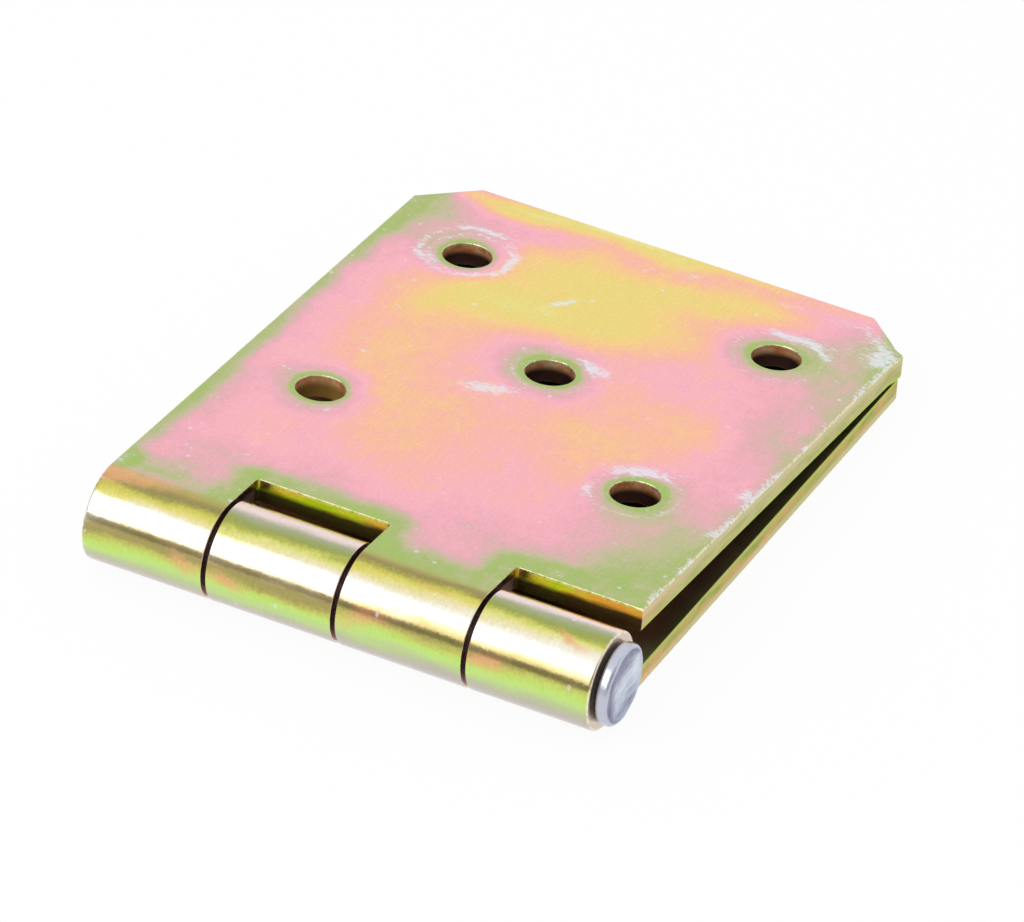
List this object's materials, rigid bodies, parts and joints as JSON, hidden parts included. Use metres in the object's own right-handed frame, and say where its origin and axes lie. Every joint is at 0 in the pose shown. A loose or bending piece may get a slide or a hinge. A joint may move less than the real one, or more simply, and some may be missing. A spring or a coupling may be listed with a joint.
{
  "type": "butt hinge",
  "caption": "Closed butt hinge of rolled sheet steel with iridescent yellow zinc plating, interleaved knuckles on a headed pin, screw holes and cut corners.",
  "frame": {"origin": "middle of the lower leaf's four outer screw holes, on the outer face that meets the wall", "axes": "+X along the pin towards its head, +Y from the pin to the free edges, +Z from the lower leaf towards the upper leaf"},
  "size_m": [0.0668, 0.0908, 0.0121],
  "materials": {
    "plated_leaf": "satin iridescent yellow zinc plating",
    "bare_pin": "bright bare steel, upset head"
  },
  "bodies": {
    "lower": {"lower_leaf": "plated_leaf", "hinge_pin": "bare_pin"},
    "upper": {"upper_leaf": "plated_leaf"}
  },
  "joints": [
    {"name": "leaf_swing", "type": "hinge", "parent": "lower", "child": "upper", "pos_m": [0, -0.0494, 0.00605], "axis": [1, 0, 0], "range_deg": [0, 280]}
  ]
}
